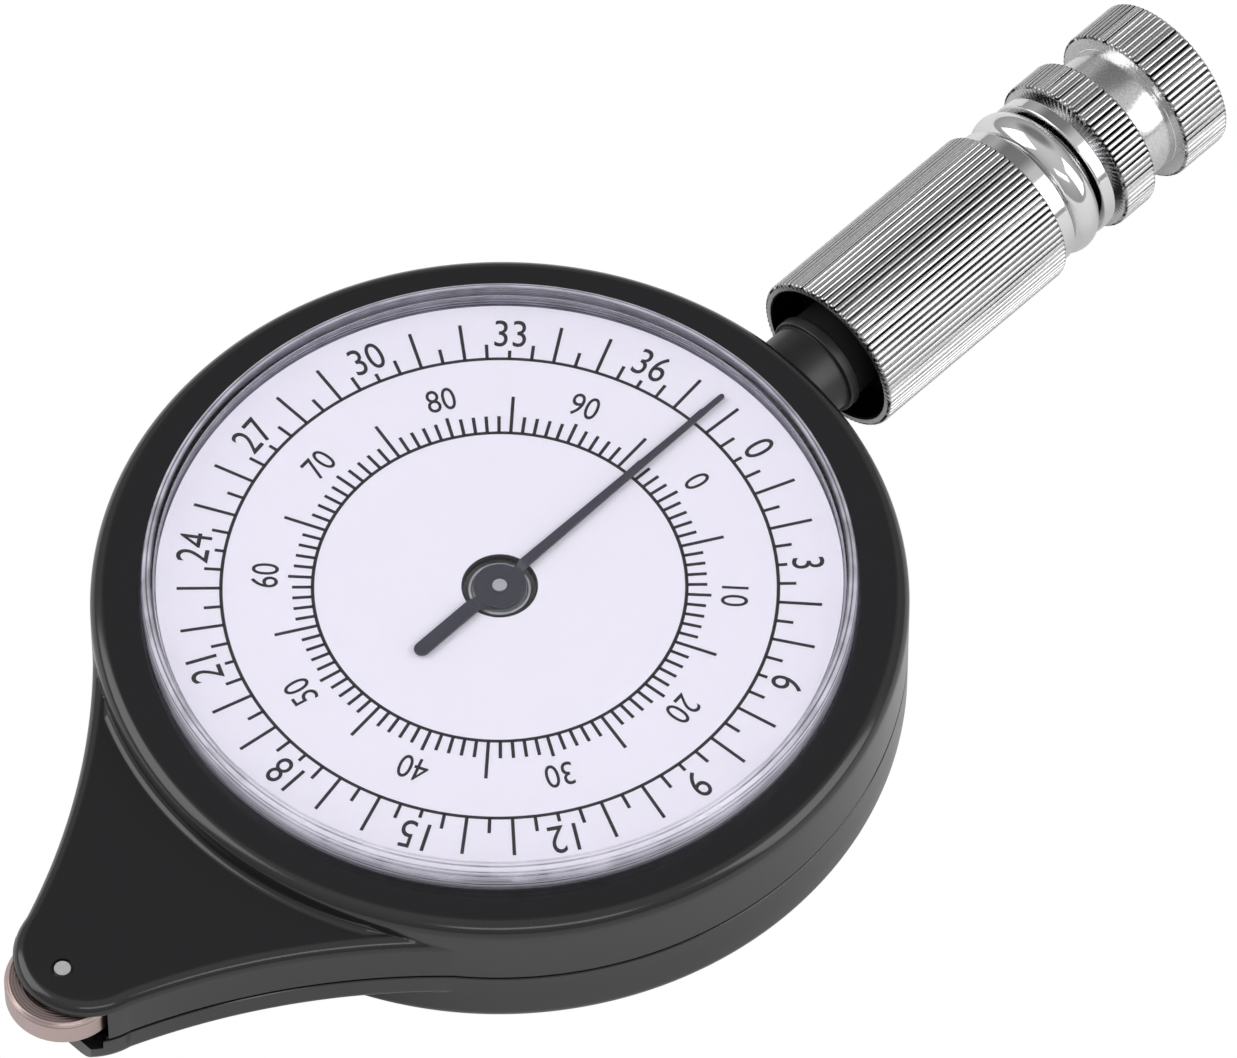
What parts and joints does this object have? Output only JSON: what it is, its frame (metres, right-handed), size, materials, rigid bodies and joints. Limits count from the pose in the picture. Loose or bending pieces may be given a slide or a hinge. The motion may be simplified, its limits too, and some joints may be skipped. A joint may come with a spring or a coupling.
{
  "type": "opisometer map measurer",
  "caption": "Hand-held map measurer: a round dial with a pointer, a tail ending in a tracing wheel, and a knurled metal handle.",
  "frame": {"origin": "centre of the flat rear face of the round case, on the dial's axis", "axes": "+Z out of the dial, +Y from the dial along the handle, the tracing wheel at -Y, +X to the right"},
  "size_m": [0.0448, 0.0897, 0.0106],
  "materials": {
    "case_black": "moulded black plastic with a soft gloss",
    "clear_crystal": "clear moulded acrylic",
    "dial_white": "white card with printed black scales",
    "bright_steel": "bright turned steel",
    "carrier_white": "natural moulded plastic",
    "brass": "plain brass",
    "wheel_metal": "turned metal with a warm tint",
    "pointer_grey": "dark grey paint",
    "stem_black": "moulded black plastic",
    "nickel": "bright nickel plate over turned and knurled brass"
  },
  "bodies": {
    "case": {"front_shell": "case_black", "rear_shell": "case_black", "crystal": "clear_crystal", "dial_plate": "dial_white", "dial_eyelet": "bright_steel", "dial_carrier": "carrier_white", "movement_plate": "brass", "movement_pillars": "bright_steel", "movement_screws": "bright_steel", "centre_bush": "brass", "second_bush": "brass", "wheel_axle": "bright_steel", "wheel_washers": "brass", "stem": "stem_black", "stem_screw": "bright_steel"},
    "wheel": {"tracing_wheel": "wheel_metal", "wheel_pinion": "brass"},
    "first_wheel": {"first_arbor": "bright_steel", "first_gear": "brass", "first_pinion": "brass"},
    "second_wheel": {"second_arbor": "bright_steel", "second_gear": "brass", "second_pinion": "brass"},
    "centre_wheel": {"centre_arbor": "bright_steel", "centre_gear": "brass", "pointer_collar": "brass", "pointer": "pointer_grey"},
    "handle": {"handle_liner": "stem_black", "handle_sleeve": "nickel", "handle_collar": "nickel", "knurled_ring": "nickel", "knob_screw": "bright_steel"},
    "knob": {"end_knob": "nickel"}
  },
  "joints": [
    {"name": "wheel_spin", "type": "hinge", "parent": "case", "child": "wheel", "pos_m": [0, -0.03334, 0.0057], "axis": [0, 0, 1], "continuous": true},
    {"name": "first_gear_spin", "type": "hinge", "parent": "case", "child": "first_wheel", "pos_m": [0, -0.02774, 0.0045], "axis": [0, 0, 1], "continuous": true},
    {"name": "second_gear_spin", "type": "hinge", "parent": "case", "child": "second_wheel", "pos_m": [0, -0.01722, 0.0045], "axis": [0, 0, 1], "continuous": true},
    {"name": "pointer_spin", "type": "hinge", "parent": "case", "child": "centre_wheel", "pos_m": [0, 0, 0.0045], "axis": [0, 0, 1], "continuous": true},
    {"name": "handle_spin", "type": "hinge", "parent": "case", "child": "handle", "pos_m": [0, 0.03, 0.00505], "axis": [0, 1, 0], "continuous": true},
    {"name": "knob_spin", "type": "hinge", "parent": "handle", "child": "knob", "pos_m": [0, 0.05, 0.00505], "axis": [0, 1, 0], "continuous": true}
  ],
  "couplings": [
    {"joint": "first_gear_spin", "follows": "wheel_spin", "ratio": -0.5},
    {"joint": "second_gear_spin", "follows": "wheel_spin", "ratio": 0.1},
    {"joint": "pointer_spin", "follows": "wheel_spin", "ratio": -0.02}
  ]
}
